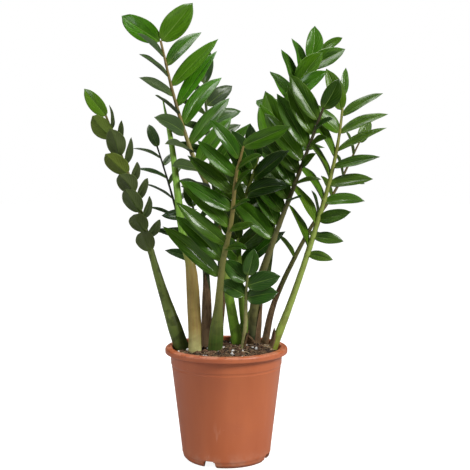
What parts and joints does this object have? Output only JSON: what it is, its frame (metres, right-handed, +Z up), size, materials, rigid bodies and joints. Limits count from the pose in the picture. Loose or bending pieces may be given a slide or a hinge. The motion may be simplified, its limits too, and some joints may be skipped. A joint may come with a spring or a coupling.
{
  "type": "potted zz plant",
  "caption": "Upright ZZ plant with swollen stalks and rows of thick glossy leaflets, growing in soil in a round plastic nursery pot.",
  "frame": {"origin": "the middle of the pot's underside, on the surface that it stands on", "axes": "+Z up along the pot's axis, the front of the plant towards -Y, +X to its right"},
  "size_m": [0.4357, 0.2928, 0.6422],
  "materials": {
    "terracotta_plastic": "moulded terracotta-coloured plastic, satin, with fine mould rings and scuffs",
    "potting_soil": "crumbly moist peat and bark mix, rough, with pale fibres and white grains",
    "stalk": "living stalks, satin, green to tan with darker bands and specks",
    "leaflet": "thick waxy leaf, glossy above, duller below, pale midrib and margin"
  },
  "bodies": {
    "root": {"leaflet_back_right_12": "leaflet", "leaflet_back_right_13": "leaflet", "leaflet_back_right_14": "leaflet", "leaflet_back_right_15": "leaflet", "leaflet_back_right_16": "leaflet", "leaflet_behind_tallest_12": "leaflet", "leaflet_behind_tallest_13": "leaflet", "leaflet_behind_tallest_14": "leaflet", "leaflet_dark_right_10": "leaflet", "leaflet_dark_right_11": "leaflet", "leaflet_dark_right_12": "leaflet", "leaflet_dark_right_13": "leaflet", "leaflet_dark_right_14": "leaflet", "leaflet_dark_right_15": "leaflet", "leaflet_dark_right_16": "leaflet", "leaflet_far_left_10": "leaflet", "leaflet_far_left_11": "leaflet", "leaflet_far_left_12": "leaflet", "leaflet_far_left_13": "leaflet", "leaflet_far_left_14": "leaflet", "leaflet_far_left_15": "leaflet", "leaflet_far_right_11": "leaflet", "leaflet_far_right_12": "leaflet", "leaflet_far_right_13": "leaflet", "leaflet_far_right_14": "leaflet", "leaflet_far_right_15": "leaflet", "leaflet_far_right_16": "leaflet", "leaflet_far_right_17": "leaflet", "leaflet_front_09": "leaflet", "leaflet_front_10": "leaflet", "leaflet_front_11": "leaflet", "leaflet_front_12": "leaflet", "leaflet_front_13": "leaflet", "leaflet_front_14": "leaflet", "leaflet_middle_11": "leaflet", "leaflet_middle_12": "leaflet", "leaflet_middle_13": "leaflet", "leaflet_tallest_11": "leaflet", "leaflet_tallest_12": "leaflet", "leaflet_tallest_13": "leaflet", "leaflet_tallest_14": "leaflet", "leaflet_tallest_15": "leaflet", "leaflet_tallest_16": "leaflet", "leaflet_tallest_17": "leaflet", "leaflet_tallest_18": "leaflet", "pot": "terracotta_plastic", "soil": "potting_soil", "stalk_back_right": "stalk", "stalk_behind_spear": "stalk", "stalk_behind_tallest": "stalk", "stalk_dark_right": "stalk", "stalk_far_left": "stalk", "stalk_far_right": "stalk", "stalk_front": "stalk", "stalk_low_front": "stalk", "stalk_middle": "stalk", "stalk_rear_right": "stalk", "stalk_spear": "stalk", "stalk_tallest": "stalk", "stalk_wiry_left": "stalk"}
  },
  "joints": []
}
